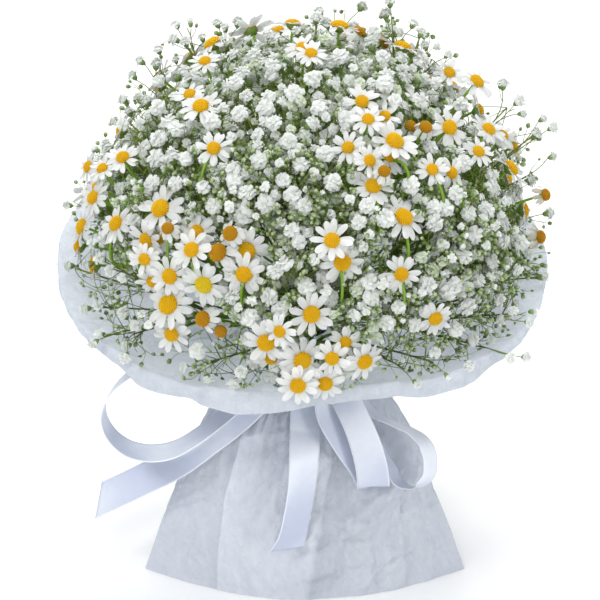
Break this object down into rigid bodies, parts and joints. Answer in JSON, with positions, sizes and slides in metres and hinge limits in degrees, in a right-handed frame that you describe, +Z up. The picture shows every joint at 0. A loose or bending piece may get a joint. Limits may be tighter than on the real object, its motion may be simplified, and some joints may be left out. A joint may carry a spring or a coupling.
{
  "type": "bunch of daisies",
  "caption": "Hand-tied round bunch of daisies and gypsophila in a tissue wrap with a wide collar, a flared skirt and a satin bow; it stands on its level cut ends and hem.",
  "frame": {"origin": "on the surface the bunch stands on, under the middle of its box", "axes": "+Z up along the stems at the tie, +X to the right and -Y towards the viewer, the side the head leans to and the bow is on"},
  "size_m": [0.3055, 0.2971, 0.3644],
  "materials": {
    "daisy_plant": "white ray petals, golden yellow discs, yellow-green stems",
    "gypsophila_plant": "white double flowers and green-white buds on thin olive-green stems",
    "raffia": "dry raffia, matte",
    "tissue": "pale blue-grey tissue paper, matte, fibrous and creased, partly see-through",
    "satin": "white satin ribbon with a cool cast, soft sheen, fine diagonal weave"
  },
  "bodies": {
    "root": {"daisy_stem_01": "daisy_plant", "daisy_stem_02": "daisy_plant", "daisy_stem_03": "daisy_plant", "daisy_stem_04": "daisy_plant", "daisy_stem_05": "daisy_plant", "daisy_stem_06": "daisy_plant", "daisy_stem_07": "daisy_plant", "daisy_stem_08": "daisy_plant", "daisy_stem_09": "daisy_plant", "daisy_stem_10": "daisy_plant", "daisy_stem_11": "daisy_plant", "daisy_stem_12": "daisy_plant", "daisy_stem_13": "daisy_plant", "daisy_stem_14": "daisy_plant", "daisy_stem_15": "daisy_plant", "daisy_stem_16": "daisy_plant", "daisy_stem_17": "daisy_plant", "daisy_stem_18": "daisy_plant", "daisy_stem_19": "daisy_plant", "gypsophila_stem_01": "gypsophila_plant", "gypsophila_stem_02": "gypsophila_plant", "gypsophila_stem_03": "gypsophila_plant", "gypsophila_stem_04": "gypsophila_plant", "gypsophila_stem_05": "gypsophila_plant", "gypsophila_stem_06": "gypsophila_plant", "gypsophila_stem_07": "gypsophila_plant", "gypsophila_stem_08": "gypsophila_plant", "gypsophila_stem_09": "gypsophila_plant", "gypsophila_stem_10": "gypsophila_plant", "gypsophila_stem_11": "gypsophila_plant", "gypsophila_stem_12": "gypsophila_plant", "gypsophila_stem_13": "gypsophila_plant", "gypsophila_stem_14": "gypsophila_plant", "gypsophila_stem_15": "gypsophila_plant", "gypsophila_stem_16": "gypsophila_plant", "gypsophila_stem_17": "gypsophila_plant", "gypsophila_stem_18": "gypsophila_plant", "gypsophila_stem_19": "gypsophila_plant", "gypsophila_stem_20": "gypsophila_plant", "gypsophila_stem_21": "gypsophila_plant", "stem_binding": "raffia", "tissue_collar": "tissue", "tissue_skirt": "tissue", "ribbon_band": "satin", "ribbon_bow": "satin"}
  },
  "joints": []
}
